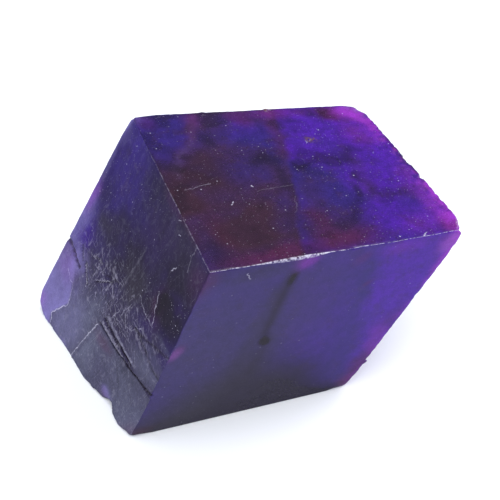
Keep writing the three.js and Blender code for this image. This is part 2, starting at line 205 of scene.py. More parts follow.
# Patches of colour on the top, the front and the left face, for each zone: strength, two shares of the
# middle and the reach along each, all in hundredths, and a turn in degrees where there is one. A
# negative strength thins the zone.
PATCHES = {
    "top": {
        "bright": [
            (45, 67, 85, 10, 16), (50, 56, 68, 3, 8, -15), (30, 62, 66, 7, 8), (60, 88, 72, 10, 14),
            (55, 87, 52, 10, 14), (35, 82, 42, 7, 10), (30, 74, 12, 9, 12), (-55, 57, 40, 9, 18, 15),
            (28, 43, 88, 10, 9),
        ],
        "glow": [
            (24, 90, 75, 8, 9), (12, 94, 36, 5, 12), (10, 58, 96, 8, 6), (14, 45, 93, 5, 6),
            (95, 92.5, 93, 6.5, 6.5, 20), (50, 97.5, 80, 3, 10), (60, 97.5, 6, 5, 10),
            (30, 96, 22, 6, 17), (18, 85, 8, 8, 8), (13, 62, 95.5, 12, 5), (16, 95.5, 85, 4, 6),
            (10, 25, 95.5, 5, 5), (10, 5, 95, 5, 5),
        ],
        "vein": [
            (10, 70, 57, 10, 5), (-30, 82, 42, 7, 10), (20, 84, 95, 4, 6, 20), (30, 74, 97, 7, 5),
            (18, 85, 77, 6, 5), (62, 43, 63, 8, 6, 15), (50, 46, 49, 3, 9), (45, 25, 79, 3, 6, 15),
            (22, 14, 56, 16, 10), (28, 35, 18, 12, 10), (22, 19, 98.5, 16, 2), (40, 57, 53, 5, 6),
            (40, 81, 64, 4.5, 3.5, 20), (40, 76, 58, 3, 5), (25, 75.5, 47, 2, 7),
            (55, 70, 34, 2, 6, -15), (50, 65, 23, 2.5, 8, -20), (45, 58, 16, 5, 3.5),
            (30, 88, 29, 4, 3), (-40, 22, 18, 14, 16), (10, 72, 60, 9, 8),
        ],
        "maroon": [
            (20, 56, 44, 5, 7), (-30, 43, 93, 8, 5), (-85, 7, 85, 13, 21, -25), (-35, 35, 57, 10, 12),
            (-35, 42, 36, 8, 7), (-30, 35, 5, 5, 5), (-30, 7, 65, 6, 6), (35, 75, 35, 5, 8),
            (-60, 43, 80, 10, 10), (75, 52, 12, 14, 14), (50, 49, 33, 6, 12), (-50, 50, 65, 5, 25, -10),
            (30, 78, 50, 3, 20), (25, 87, 30, 5, 6), (-50, 55, 95, 6, 7), (30, 45, 55, 5, 6),
        ],
        "red": [
            (12, 53, 68, 3, 10, -15), (32, 56.5, 87, 4.5, 16, -12), (30, 47, 93, 5, 6),
            (40, 60, 97, 8, 5), (85, 84, 94, 5, 7, 20), (15, 86, 86, 5, 5), (55, 26, 3, 20, 5),
            (15, 10, 20, 5, 14), (55, 55, 7, 12, 7), (35, 48, 20, 5, 7), (95, 97, 4, 6, 7),
            (20, 74, 96, 5, 5),
        ],
        "dark": [(50, 5, 10, 5, 9), (15, 22, 20, 9, 10)],
        "pale": [(65, 95.5, 95.5, 4.5, 4.5, 20), (40, 0, 100, 5, 6), (30, 97, 95, 4, 6)],
        "rust": [(90, 67.2, 73, 2.2, 2), (80, 57.8, 99.5, 1.2, 2)],
    },
    "front": {
        "slab": [(14, 10, 60, 30, 50), (7, 50, 75, 20, 40)],
        "film": [(40, 8, 42, 32, 62), (20, 45, 78, 15, 35), (10, 35, 45, 42, 18), (25, 20, 93, 12, 5)],
        "vein": [
            (17, 38, 70, 28, 40), (20, 12, 96, 18, 6), (50, 36, 87.5, 2, 3.5),
            (85, 40.3, 49.7, 1.4, 3.4, 35), (30, 97, 20, 4, 10), (22, 96, 50, 5, 12),
        ],
        "maroon": [(15, 96, 42, 5, 18)],
        "bright": [
            (22, 58, 60, 15, 40, 20), (-30, 72, 78, 4.5, 15, 15), (-35, 86, 52, 6, 10),
            (20, 56, 96, 20, 6), (35, 38, 95, 5, 5),
        ],
        "dark": [(30, 70, 18, 16, 20, 20), (40, 34.5, 70, 4.5, 35)],
        "glow": [
            (10, 36, 95.5, 5, 5), (30, 37, 96.5, 3.5, 3.5), (85, 98.5, 96, 7, 8),
            (30, 100, 80, 2.5, 14), (20, 94, 40, 4.5, 7, 25), (15, 95, 30, 3, 5, 25),
            (12, 77, 96, 10, 4), (20, 1.2, 53, 2.4, 4, -20),
        ],
        "red": [
            (25, 60, 92, 3, 4), (30, 72, 77, 1.8, 2.5, -45), (35, 0, 93, 5, 9), (25, 2, 2, 6, 5),
            (55, 98, 12, 5, 16), (45, 1.2, 53.5, 2.4, 4.5, -20),
        ],
        "pale": [(95, 98.5, 96, 5, 7), (45, 1.2, 53, 2, 3.2, -20)],
    },
    "left": {
        "dark": [
            (-38, 86, 92, 25, 18, 20), (30, 50, 62, 25, 12), (-50, 95, 55, 12, 14),
            (35, 12, 79, 15, 15),
        ],
        "maroon": [(40, 20, 92, 30, 14), (30, 42, 70, 14, 16), (25, 15, 25, 7, 5), (40, 25, 60, 6, 10)],
        "film": [
            (20, 25, 93, 30, 10), (-85, 95, 50, 14, 12, 15), (20, 39, 57, 12, 12), (35, 86, 56, 7, 7),
            (-25, 7, 60, 10, 9),
        ],
        "slab": [
            (95, 66, 10, 13, 20), (65, 10, 35, 15, 6), (50, 56, 27, 6, 10), (50, 79, 5, 7, 9),
            (25, 50, 14, 6, 8), (35, 10, 44, 12, 2.5), (30, 8, 13, 12, 12), (30, 45, 7, 8, 9),
            (35, 6, 53.5, 7, 1.5),
        ],
        "pale": [
            (20, 80, 5, 5, 8), (15, 75, 34, 5, 5), (75, 99, 98.5, 3.5, 3.5), (35, 99, 75, 3, 20),
            (40, 97, 57, 7, 9), (45, 83, 36, 7, 7), (-14, 87, 15, 8, 8), (75, 26, 4.5, 4, 3, 20),
            (20, 76, 25, 5, 5), (30, 68, 0, 5, 2.5), (25, 69, 11, 11, 16), (40, -2, 56, 2, 4),
            (-15, 86, 46, 7, 6, 20), (20, 97, 95, 5, 6),
        ],
        "red": [
            (25, 43, 22, 8, 3), (20, 3, 90, 7, 9), (20, 0, 3, 7, 6), (20, 35, 100, 20, 3),
            (35, 19, 62, 5, 9), (20, 26.5, 3.5, 3, 3, 20),
        ],
        "vein": [
            (40, 13, 64, 8, 8), (22, 20, 90, 40, 16), (20, 13, 65, 20, 10), (22, 40, 56, 26, 9),
            (16, 12, 86, 9, 8), (16, 3, 66, 6, 6), (35, 55, 48, 8, 9), (25, 25, 55, 7, 6),
            (16, 20, 24.5, 20, 4), (13, 20, 19, 12, 9), (30, 12, 75, 14, 6, -30), (20, 25, 25.5, 6, 4),
            (18, 14, 45, 8, 5), (15, 45, 35, 5, 5), (10, 72, 86, 9, 6),
        ],
        "bright": [(50, 8, 73, 7, 6, -20), (20, 87, 49, 8, 8, 20), (20, 85, 42, 7, 10)],
        "glow": [(22, 97, 5, 6, 6), (25, 98, 62, 4, 8), (12, 90, 30, 10, 6, 20)],
    },
}

# Hair cracks and scratches of each face: a broken line in its two shares, the width in millimetres,
# which is no thinner than shows, and how white it is.
STROKES = {
    "left": [
        ([(0.825, -0.01), (0.83, 0.03), (0.852, 0.056), (0.77, 0.165), (0.776, 0.185)], 0.1, 0.7),
        ([(0.776, 0.185), (0.8, 0.25), (0.85, 0.262), (0.89, 0.286)], 0.09, 0.3),
        ([(0.58, 0.0), (0.562, 0.08), (0.545, 0.155), (0.512, 0.252)], 0.13, 0.6),
        ([(0.512, 0.252), (0.492, 0.34), (0.478, 0.47), (0.46, 0.6), (0.44, 0.74)], 0.28, 0.06),
        ([(0.2, 0.295), (0.3, 0.304), (0.4, 0.318), (0.475, 0.333)], 0.28, 0.2),
        ([(0.27, 0.264), (0.36, 0.27), (0.49, 0.281)], 0.24, 0.22),
        ([(0.465, 0.32), (0.42, 0.41)], 0.08, 0.3),
        ([(0.37, 0.475), (0.392, 0.435), (0.397, 0.4)], 0.07, 0.4),
        ([(0.33, 0.382), (0.385, 0.43)], 0.07, 0.35),
        ([(0.3, 0.365), (0.45, 0.368)], 0.07, 0.25),
        ([(0.265, 0.352), (0.34, 0.347), (0.45, 0.352)], 0.07, 0.25),
        ([(0.285, 0.405), (0.35, 0.388), (0.41, 0.39)], 0.07, 0.28),
        ([(0.235, 0.464), (0.265, 0.438), (0.3, 0.448)], 0.08, 0.4),
        ([(0.24, 0.675), (0.222, 0.625), (0.185, 0.535)], 0.1, 0.4),
        ([(0.18, 0.527), (0.26, 0.533), (0.34, 0.562)], 0.1, 0.25),
        ([(0.5, 0.485), (0.56, 0.497)], 0.08, 0.3),
        ([(0.575, 0.445), (0.67, 0.382)], 0.08, 0.35),
        ([(0.712, 0.312), (0.79, 0.378)], 0.09, 0.35),
        ([(0.142, 1.0), (0.146, 0.94), (0.13, 0.88)], 0.1, 0.16),
        ([(0.312, 0.985), (0.328, 0.973)], 0.1, 0.7),
        ([(0.205, 0.835), (0.228, 0.8)], 0.12, 0.45),
        ([(0.27, 0.944), (0.285, 0.935)], 0.09, 0.5),
    ],
    "top": [
        ([(0.06, 0.475), (0.11, 0.485), (0.175, 0.5)], 0.07, 0.35),
        ([(0.205, 0.355), (0.218, 0.37)], 0.12, 0.8),
        ([(0.32, 0.46), (0.328, 0.45)], 0.1, 0.8),
        ([(0.838, 0.02), (0.822, 0.0)], 0.12, 0.8),
        ([(0.46, 0.36), (0.435, 0.28), (0.42, 0.26)], 0.07, 0.12),
        ([(0.33, 0.42), (0.48, 0.435)], 0.07, 0.14),
    ],
    "front": [
        ([(0.155, 0.955), (0.175, 0.92)], 0.1, 0.4),
    ],
}
WANDER = 0.7  # the span in millimetres within which these lines waver

# How clear, scored, dusty, rough and cloudy each face is. The broken faces are alike.
FINISHES = ("clear", "scored", "dust", "matte", "mottle", "chips_and_glint_edge")
FACE_FINISH = {
    "top": (0.35, 0.0, 1.0, 0.13, 0.85),
    "front": (0.25, 0.0, 0.2, 0.2, 0.45),
    "left": (0.05, 0.1, 0.3, 0.42, 0.6),
}
BROKEN_FINISH = (0.2, 0.14, 0.3, 0.38, 0.8)
TANZANITE_IOR = 1.69
# Reflections are held low, because the wide pale floor would lay a grey veil over the dark faces.
SPECULAR_LEVEL = 0.01
RELIEF_MM = 0.1  # what the scoring's bump stands for

# Noises inside the stone: clouds to a millimetre, detail, roughness, and, where one is used as a mask,
# the two levels between which it rises, and from what to what where that isn't 0 to 1.
NOISES = {
    "cloud": (0.17, 5.0, 0.6),
    "wisps": (0.8, 5.0, 0.7),
    "grain": (5.0, 2.0, 0.6),
    "dusk": (0.5, 4.0, 0.65, 0.5, 0.68, 0.0, 0.4),
    "hair gaps": (1.3, 2.0, 0.6, 0.42, 0.6, 0.1, 1.0),
    "rust": (3.0, 3.0, 0.6, 0.4, 0.6),
    "line gaps": (2.2, 3.0, 0.7, 0.36, 0.56, 0.25, 1.0),
    "dust": (0.25, 2.0, 0.6, 0.38, 0.62, 0.3, 1.2),
    "grit": (2.6, 3.0, 0.7, 0.38, 0.6),
}
# Noise on the sheet, drawn out into strokes: turn in degrees, and scale across and along them. Each of
# the two sets of scoring has the levels at which its troughs and its crests begin and are full.
SCORING = [(40, 3.6, 0.8), (-12, 3.3, 0.7)]
TROUGHS, CRESTS = [(0.46, 0.3), (0.44, 0.28)], [(0.55, 0.72), (0.57, 0.74)]
HAIRS = [(38, 1.05, 0.18), (-15, 1.15, 0.2), (78, 1.2, 0.26)]
# Specks of dust: size of the cell that may hold one, largest radius, both in millimetres, and strength.
SPECKS = [(2.6, 0.14, 0.9), (1.0, 0.075, 0.55), (0.7, 0.08, 0.3)]

# ---- The stage, in metres ----

# The floor is a wide dish: flat rings, then a rim that sweeps up in a quarter of an ellipse.
FLOOR_SIDES = 96
FLAT_RINGS = [0.2, 0.45]
FLAT, RIM_RUN, RIM_RISE, RIM_RINGS = 0.7, 0.6, 0.5, 25

# The soft lights: power as a share of the softbox's, width of the disc, and place. All face the stone.
LIGHTS = {
    "softbox": (1.0, 0.7, (0.0, -0.1, 0.6)),
    "right": (1.22, 0.7, (0.62, 0.15, 0.28)),
    "front": (0.42, 0.6, (-0.45, -0.5, 0.42)),
}
LIGHT_TARGET = (0, 0, 0.01)
SKY, SKY_STRENGTH = (0.78, 0.86, 1.0, 1), 0.3

CAMERA_PLACE = (-0.025391, -0.095041, 0.10575)
CAMERA_TILT, CAMERA_TURN = 48, -16.597  # degrees
SENSOR_WIDTH, NEAR_CLIP = 36.0, 0.001  # the sensor in millimetres

# ---- Colours ----


def linear(hex_colour):
    """An sRGB hex colour as linear red, green and blue."""
    channels = [int(hex_colour[i : i + 2], 16) / 255 for i in (1, 3, 5)]
    return tuple(x / 12.92 if x <= 0.04045 else ((x + 0.055) / 1.055) ** 2.4 for x in channels)


# ---- Settings that a user would change ----


def length_setting(name, description, default_mm):
    """A length, given in millimetres and kept in metres."""
    return bpy.props.FloatProperty(
        name=name, description=description, default=default_mm * MM, min=0.0, unit="LENGTH", precision=5
    )


def colour_setting(name, description, hex_colour):
    """A colour, given in sRGB hex and kept as linear."""
    default = linear(hex_colour)
    return bpy.props.FloatVectorProperty(
        name=name, description=description, default=default, min=0.0, max=1.0, subtype="COLOR"
    )


class TanzaniteShape(bpy.types.PropertyGroup):
    edge_wear: length_setting("Edge wear", "Radius of an edge that is hardly worn", 0.12)
    broken_swell: length_setting("Broken swell", "Slow rise and fall of the broken faces", 0.12)
    smooth_swell: length_setting("Smooth swell", "Slow rise and fall of the top and front", 0.05)
    grain: length_setting("Grain", "Height of the fine grain of the broken faces", 0.05)


class TanzaniteColours(bpy.types.PropertyGroup):
    deep: colour_setting("Deep", "Blue-violet of the clean stone", "#38287a")
    # Bright is painted light: the violet of the end that light shines through.
    bright: colour_setting("Bright", "Violet of the end that light reaches", "#5022a6")
    # Maroon is the stone's own tint, and the middle is also painted darker with it as painted shade,
    # where less light reaches.
    maroon: colour_setting("Maroon", "Maroon of the cloudy middle", "#42293b")
    red: colour_setting("Red", "Red of old fractures", "#5e2246")
    # Vein also paints shade: the near-black in the deep grooves is painted shade.
    vein: colour_setting("Vein", "Near black of veins and deep grooves", "#1e1826")
    dark: colour_setting("Dark", "Dull dark violet of the thick parts", "#241c38")
    # Glow is painted light: the magenta that thin stone shows where light comes through it.
    glow: colour_setting("Glow", "Magenta where the stone is thin", "#9c38c4")
    # Film is partly the real film of fine scratches and partly a painted grey sheen, the reflection of
    # the pale floor.
    film: colour_setting("Film", "Grey of the film of fine scratches", "#3b3745")
    # Slab's slate also paints a highlight along the ridges of the left face.
    slab: colour_setting("Slab", "Slate of the lower slab", "#5d5e76")
    # Pale is partly the stone's lavender and partly a painted glow of light through its thin corners.
    pale: colour_setting("Pale", "Lavender of the thin lower corner", "#7e75b2")
    rust: colour_setting("Rust", "Brown in the pits", "#7a5a3c")
    # Spark also paints the highlight along the front top edge and the top left edge.
    spark: colour_setting("Spark", "White of chips, scratches and dust", "#dcd8f0")


class TanzaniteStage(bpy.types.PropertyGroup):
    floor: colour_setting("Floor", "Colour of the floor and its cove", "#f6f8fc")
    softbox: bpy.props.FloatProperty(
        name="Softbox", description="Power of the large soft light", default=3.7, min=0.0, unit="POWER"
    )
    lens: bpy.props.FloatProperty(
        name="Lens", description="Focal length of the camera", default=72.0, min=1.0, unit="CAMERA"
    )


# ---- Numbers that look broken ----


def smooth(x, low, high):
    """0 below low, 1 above high, and 3t squared less 2t cubed between them."""
    t = np.clip((x - low) / (high - low), 0.0, 1.0)
    return t * t * (3 - 2 * t)


def noise(u, v, cells, seed):
    """Smooth noise from -1 to 1: random heights on a square lattice, eased from one to the next. The
    seed picks one pattern of heights, and each use has its own."""
    rows, columns = int(math.ceil(cells[0])) + 3, int(math.ceil(cells[1])) + 3
    lattice = np.random.default_rng(seed).uniform(-1, 1, (rows, columns))
    x = np.clip(u * cells[0] + 1, 0, rows - 1.001)
    y = np.clip(v * cells[1] + 1, 0, columns - 1.001)
    i, j = x.astype(int), y.astype(int)
    s, t = smooth(x - i, 0, 1), smooth(y - j, 0, 1)
    low = lattice[i, j] * (1 - s) + lattice[i + 1, j] * s
    high = lattice[i, j + 1] * (1 - s) + lattice[i + 1, j + 1] * s
    return low * (1 - t) + high * t


def rough(u, v, cells, octaves, seed):
    """Noise at several sizes, each half the size and half the height of the one before."""
    total = sum(
        noise(u, v, (cells[0] * 2**k, cells[1] * 2**k), seed + k) / 2**k for k in range(octaves)
    )
    return total / (2 - 2 ** (1 - octaves))


# ---- Relief of the faces: depths below each face, in millimetres ----


def swell(u, v, phase):
    """Three crossing waves from 0 to 1 that fade out at the edges of a face."""
    slow = np.sin(5.1 * u + 2.3 * v + phase)
    cross = np.sin(9.7 * v - 4.1 * u + 2 * phase)
    quick = np.sin(15.3 * u + 12.9 * v + 3 * phase)
    return 16 * u * (1 - u) * v * (1 - v) * (0.5 + (slow + 0.6 * cross + 0.4 * quick) / 4)


def inside(u, v, outline):
    """Distance in millimetres from the nearest side of a convex outline, positive inside it."""
    points = np.array(outline)[:, :2] * FACE_MM
    following = np.roll(points, -1, axis=0)
    turn = np.sign(np.sum(points[:, 0] * following[:, 1] - following[:, 0] * points[:, 1]))
    far = np.full(u.shape, np.inf)
    for (x0, y0), (x1, y1) in zip(points, following):
        run = math.hypot(x1 - x0, y1 - y0)
        side = ((x1 - x0) * (v * FACE_MM - y0) - (y1 - y0) * (u * FACE_MM - x0)) / run
        far = np.minimum(far, turn * side)
    return far


def ragged(u, v, seed):
    """Noise of up to 0.35 mm, which makes the outline of a floor ragged."""
    return 0.35 * rough(u, v, (14, 14), 3, seed)


def floors(face, u, v, wander):
    """Deepest of a face's floors: a tilted plane in each outline, with a leaning riser at its side. The
    outline wanders by the given distance."""
    deepest = np.zeros(u.shape)
    for outline in FLOORS.get(face, []):
        corners = np.array(outline, dtype=float)
        sides = np.c_[corners[:, :2], np.ones(len(corners))]
        plane = np.linalg.lstsq(sides, corners[:, 2], rcond=None)[0]
        depth = np.maximum(0, plane[0] * u + plane[1] * v + plane[2])
        deepest = np.maximum(deepest, depth * smooth(inside(u, v, outline) + wander, 0, 0.35))
    return deepest


def from_line(u, v, points):
    """Distance in millimetres from a broken line through points given in shares."""
    nearest = np.full(u.shape, np.inf)
    for (u0, v0), (u1, v1) in zip(points, points[1:]):
        t = ((u - u0) * (u1 - u0) + (v - v0) * (v1 - v0)) / ((u1 - u0) ** 2 + (v1 - v0) ** 2)
        t = np.clip(t, 0, 1)
        away = np.hypot(u - u0 - t * (u1 - u0), v - v0 - t * (v1 - v0)) * FACE_MM
        nearest = np.minimum(nearest, away)
    return nearest


def grooves(u, v):
    """Depth of the grooves: each falls off evenly to both sides of a broken line, as a V, and its
    width comes and goes."""
    total = np.zeros(u.shape)
    width = 1 + 0.45 * rough(u, v, (18, 18), 2, 23)
    for line, half, depth in GROOVES:
        total += depth * np.maximum(0, 1 - from_line(u, v, line) / (half * width))
    return total


def waved(u, v):
    """Shares pushed about by up to a third of a millimetre, so that lines on the face waver."""
    return u + 0.01 * rough(u, v, (11, 11), 3, 29), v + 0.01 * rough(u, v, (11, 11), 3, 19)


def pits(face, u, v):
    """Round hollows with a flat bottom, or nubs where the depth is negative."""
    total = np.zeros(u.shape)
    for name, (pit_u, pit_v), radius, depth in PITS:
        if name == face:
            away = np.hypot(u - pit_u, v - pit_v) * FACE_MM
            total += depth * (1 - smooth(away, 0.5 * radius, radius))
    return total


def edge_fade(u, v):
    """0 at the edges of a face, rising to 1 over a share of 0.04 from them."""
    return smooth(np.minimum(np.minimum(u, 1 - u), np.minimum(v, 1 - v)), 0, 0.04)


def terraces(u, v, seed, step):
    """Low cleavage steps: slow noise, rounded down to a few even levels with short risers."""
    level = 5 * (rough(u, v, (3, 5), 3, seed) + 1)
    return step * (np.floor(level) + smooth(level - np.floor(level), 0.8, 1.0))


# ---- The skin of the block ----


def place(a, b, c):
    """The point for three shares: the eight corners, each weighted by how near the shares are."""
    weights = [np.stack([1 - x, x], -1) for x in (a, b, c)]
    return np.einsum("ni,nj,nk,ijkx->nx", *weights, CORNERS) - MIDDLE


def chips_along(t, cells, seed):
    """Depth from 0 to 1 of an edge's chips: where noise rises above nothing, at two sizes."""
    large = np.maximum(0, noise(t, t * 0, (cells, 1), seed) - 0.15)
    small = np.maximum(0, noise(t, t * 0, (3.3 * cells, 1), seed + 1))
    return np.clip(1.1 * large + 0.45 * small, 0, 1)


def wear_radii(shares, edge_wear):
    """How far each share is worn back from its faces near a point: a little all along, more at each
    corner, and chips along the edges that differ on the two sides of an edge."""
    points = place(*shares)
    away = np.linalg.norm(points[:, None] - (CORNERS.reshape(-1, 3) - MIDDLE), axis=2)
    wear = edge_wear + np.exp(-((away / WEAR_REACH) ** 2)) @ CORNER_WEAR.reshape(-1)
    radii = np.repeat(wear[None], 3, axis=0)
    for number, (fixed, cells, bite) in enumerate(CHIPS):
        sides = ["abc".index(name) for name in fixed]
        t = shares[3 - sum(sides)]
        off = [np.abs(shares[k] - side) * EDGE[k] for k, side in zip(sides, fixed.values())]
        near = 1 - smooth(np.max(off, axis=0), *CHIP_FADE)
        for k in sides:
            radii[k] += near * bite * chips_along(t, cells, seed=100 + 20 * number + 3 * k)
        if fixed == {"a": 0, "c": 0}:
            within = NOTCH_WIDTH - np.abs(t - NOTCH_B) * EDGE[1]
            radii[sides] += near * NOTCH_BITE * smooth(within, 0, 0.8 * NOTCH_WIDTH)
    return radii / EDGE[:, None], np.clip(wear / edge_wear - 1, 0, 1)


def rounded(shares, radii, worn):
    """Shares pulled in from the box: past the inner box they lie on a blunt bulge round it, nearly
    flat where an edge is chipped and round where a corner is worn."""
    power = 1.25 + 0.65 * worn
    inner = np.clip(shares, radii, 1 - radii)
    past = (shares - inner) / radii
    size = np.sum(np.abs(past) ** power, axis=0) ** (1 / power)
    return np.where(size > 1e-9, inner + radii * past / np.maximum(size, 1e-9), shares)


def skin(shares, shape):
    """Points of the worn skin. A depth below a face moves its share inwards, so the faces beside it
    stay flat. The depth of each face is the sum of its swell, its grain and its own floors, steps,
    grooves and pits; the left one is lessened by the two lobes at its base."""
    broken, fine, grain = shape.broken_swell / MM, shape.smooth_swell / MM, shape.grain / MM
    a, b, c = rounded(shares, *wear_radii(shares, shape.edge_wear / MM))

    left = broken * swell(b, c, 0.4)
    left += grain * rough(b, c, (50, 16), 3, seed=1) * (0.35 + 0.65 * edge_fade(b, c))
    for middle, reach, rise in LOBES:
        left -= rise * np.exp(-((b - middle) ** 2 + c**2) / reach**2)
    cut = 0.3 * floors("left", b, c, 0.3 * ragged(b, c, seed=11))
    left += cut + grooves(*waved(b, c)) + pits("left", b, c)

    def broken_face(face, u, v, phase, seed, step):
        depth = broken * swell(u, v, phase) + floors(face, u, v, ragged(u, v, seed)) + pits(face, u, v)
        rises = terraces(u, v, seed + 1, step) + 1.6 * grain * rough(u, v, (30, 30), 4, seed + 2)
        return depth + rises * edge_fade(u, v)

    right = broken_face("right", b, c, phase=1.9, seed=12, step=0.13)
    back = broken_face("back", a, c, phase=4.2, seed=15, step=0.15)
    front = fine * swell(a, c, 2.7)
    top = fine * swell(a, b, 5.3) + pits("top", a, b)
    base = floors("base", a, b, ragged(a, b, seed=18))

    a = a + (left * (1 - a) - right * a) / EDGE[0]
    b = b + (front * (1 - b) - back * b) / EDGE[1]
    c = c + (base * (1 - c) - top * c) / EDGE[2]
    return place(a, b, c)


def grid_lines(spans):
    """Shares of the grid lines along one axis: even steps within each span."""
    steps = [np.linspace(start, end, count, endpoint=False) for start, end, count in spans]
    return np.concatenate([*steps, [1.0]])


def grid_cells(rows, columns, closed=False):
    """The four points of each cell of a grid whose points are numbered row by row. A closed grid joins
    its last column to its first."""
    i, j = np.indices((rows - 1, columns - (not closed))).reshape(2, -1)
    near, far, following = i * columns, (i + 1) * columns, (j + 1) % columns
    return np.stack([near + j, far + j, far + following, near + following], axis=1)


def block_grid():
    """The six faces of the box as one grid: the shares of its points, the four points of each cell,
    and the face that each cell is on, in the order of FACES."""
    lines = [grid_lines(spans) for spans in SPANS]
    n = [len(x) for x in lines]
    keys, cells = [], []
    for axis in range(3):
        p, q = (k for k in range(3) if k != axis)
        i, j = np.indices((n[p], n[q])).reshape(2, -1)
        quad = grid_cells(n[p], n[q])
        for end in (0, n[axis] - 1):
            at = [None] * 3
            at[axis], at[p], at[q] = np.full_like(i, end), i, j
            keys.append((at[0] * n[1] + at[1]) * n[2] + at[2])
            # Across b the two other axes turn the other way, so the order of a cell's points swaps.
            cells.append(quad if (end > 0) != (axis == 1) else quad[:, ::-1])
    unique, index = np.unique(np.concatenate(keys), return_inverse=True)
    starts = np.cumsum([0] + [len(k) for k in keys])
    numbers = np.unravel_index(unique, n)
    shares = np.stack([line[number] for line, number in zip(lines, numbers)])
    quads = np.concatenate([index[cell + start] for cell, start in zip(cells, starts)])
    return shares, quads, np.repeat(np.arange(6), [len(cell) for cell in cells])


# ---- Zones of colour ----


def line_zone(u, v, points, width):
    """1 on a broken line, falling off smoothly to each side within a width in millimetres."""
    return np.exp(-((from_line(u, v, points) / width) ** 2))


def patch(u, v, middle_u, middle_v, reach_u, reach_v, turn=0):
    """1 in a turned ellipse, falling off smoothly: e to the minus cube of the distance in reaches."""
    cos, sin = math.cos(math.radians(turn)), math.sin(math.radians(turn))
    along = (cos * (u - middle_u) + sin * (v - middle_v)) / reach_u
    across = (cos * (v - middle_v) - sin * (u - middle_u)) / reach_v
    return np.exp(-(np.hypot(along, across) ** 3))


def face_shares(face, shares):
    """A face's own two shares, u and v."""
    a, b, c = shares
    return {"left": (b, c), "right": (b, c), "front": (a, c), "back": (a, c)}.get(face, (a, b))


